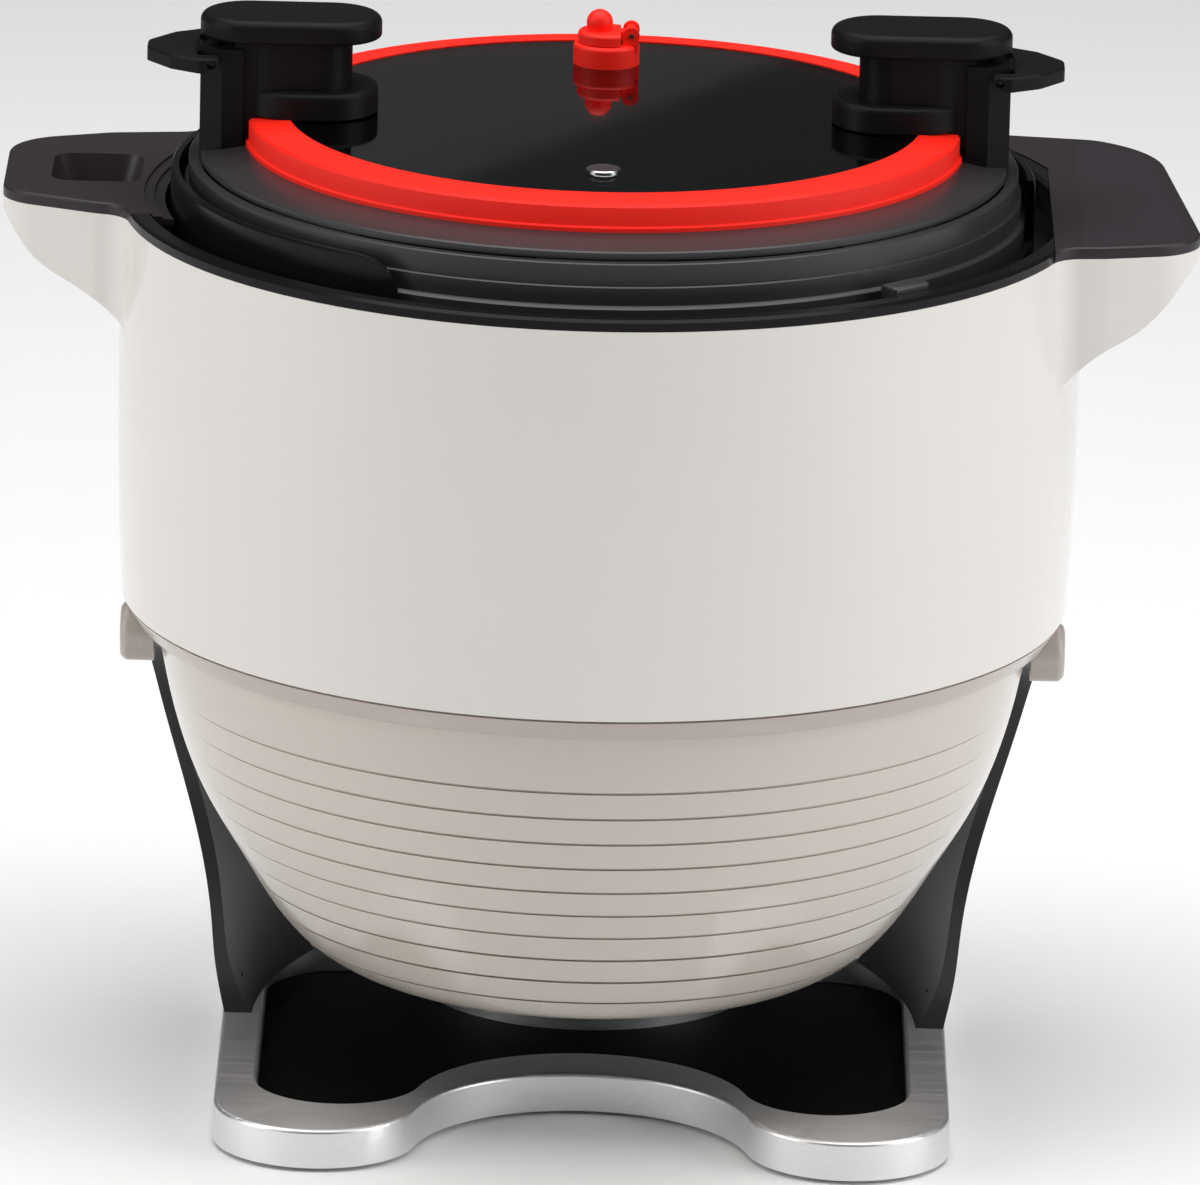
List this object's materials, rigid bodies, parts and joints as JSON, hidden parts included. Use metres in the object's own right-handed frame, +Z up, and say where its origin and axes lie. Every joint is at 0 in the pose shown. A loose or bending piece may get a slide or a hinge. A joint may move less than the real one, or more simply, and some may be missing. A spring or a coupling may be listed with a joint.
{
  "type": "electric pressure cooker",
  "caption": "Electric pressure cooker with a round white body, side handles, red-sealed glass lid and a tilting stand with two curved arms.",
  "frame": {"origin": "on the table under the cooker's axis, at the centre of the footprint of the whole box", "axes": "+Z up, -Y the front of the cooker, +X the side of the wide handle and the tilt axis"},
  "size_m": [0.4094, 0.33, 0.3754],
  "materials": {
    "aluminium": "brushed satin",
    "arm_dark": "satin powder coat",
    "floor_black": "matte moulded",
    "foot_rubber": "matte",
    "cap_beige": "satin gloss",
    "shell_white": "high gloss",
    "band_beige": "satin gloss",
    "bowl_white": "gloss",
    "collar_black": "gloss",
    "cover_black": "satin",
    "touch_film": "satin film",
    "grip_black": "fine matte",
    "lock_black": "gloss",
    "seal_red": "satin silicone",
    "gasket_grey": "matte silicone",
    "dark_glass": "dark tinted, polished",
    "steel": "bright",
    "pot_coating": "matte non-stick coating",
    "cast_plate": "cast",
    "brass": "satin",
    "board_green": "lacquered",
    "inner_plastic": "matte"
  },
  "bodies": {
    "stand": {"base_ring": "aluminium", "base_floor": "floor_black", "rubber_feet": "foot_rubber", "floor_screws": "steel", "left_arm": "arm_dark", "right_arm": "arm_dark", "left_pivot_cap": "cap_beige", "right_pivot_cap": "cap_beige", "tilt_bushes": "brass", "arm_screws": "steel"},
    "pot_body": {"upper_shell": "shell_white", "seam_band": "band_beige", "lower_bowl": "bowl_white", "bottom_cover": "inner_plastic", "bottom_screws": "steel", "collar": "collar_black", "collar_screws": "steel", "left_handle_cover": "cover_black", "right_handle_cover": "cover_black", "touch_panel": "touch_film", "control_board": "board_green", "trunnion_pins": "steel", "trunnion_plates": "steel", "chamber_liner": "cast_plate", "heating_plate": "cast_plate", "heating_element": "steel", "plate_standoffs": "steel", "sensor_sleeve": "inner_plastic", "thermal_fuse": "inner_plastic", "power_board": "board_green", "power_inlet": "inner_plastic"},
    "sensor": {"sensor_cap": "steel", "sensor_spring": "steel"},
    "lock_ring": {"lock_ring": "lock_black", "lock_knob": "lock_black"},
    "inner_pot": {"inner_pot": "pot_coating"},
    "lid": {"lid_ring": "lock_black", "pressure_gasket": "gasket_grey", "rim_seal": "seal_red", "lid_glass": "dark_glass", "badge_disc": "steel", "left_lid_bracket": "grip_black", "right_lid_bracket": "grip_black", "left_grip_cap": "grip_black", "right_grip_cap": "grip_black", "lever_pins": "steel", "lever_springs": "steel", "lid_screws": "steel", "vent_seat": "seal_red", "vent_pin": "steel"},
    "left_lever": {"left_lever": "grip_black"},
    "right_lever": {"right_lever": "grip_black"},
    "vent_flap": {"vent_flap": "seal_red"}
  },
  "joints": [
    {"name": "tilt", "type": "hinge", "parent": "stand", "child": "pot_body", "pos_m": [0, 0, 0.1545], "axis": [1, 0, 0], "range_deg": [0, 50]},
    {"name": "lock_turn", "type": "hinge", "parent": "pot_body", "child": "lock_ring", "pos_m": [0, 0, 0.31], "axis": [0, 0, -1], "range_deg": [0, 22.5]},
    {"name": "pot_lift", "type": "slide", "parent": "pot_body", "child": "inner_pot", "axis": [0, 0, 1], "range_m": [0, 0.22]},
    {"name": "lid_lift", "type": "slide", "parent": "inner_pot", "child": "lid", "axis": [0, 0, 1], "range_m": [0, 0.15]},
    {"name": "left_lever_press", "type": "hinge", "parent": "lid", "child": "left_lever", "pos_m": [-0.1342, 0, 0.3609], "axis": [0, -1, 0], "range_deg": [0, 10], "stiffness_Nm_per_rad": 0.08},
    {"name": "right_lever_press", "type": "hinge", "parent": "lid", "child": "right_lever", "pos_m": [0.1342, 0, 0.3609], "axis": [0, 1, 0], "range_deg": [0, 10], "stiffness_Nm_per_rad": 0.08},
    {"name": "vent_open", "type": "hinge", "parent": "lid", "child": "vent_flap", "pos_m": [0.0085, 0.077, 0.3523], "axis": [0, 1, 0], "range_deg": [0, 100]},
    {"name": "sensor_press", "type": "slide", "parent": "pot_body", "child": "sensor", "axis": [0, 0, -1], "range_m": [0, 0.003], "stiffness_N_per_m": 400, "deforming": ["sensor_spring"]}
  ]
}
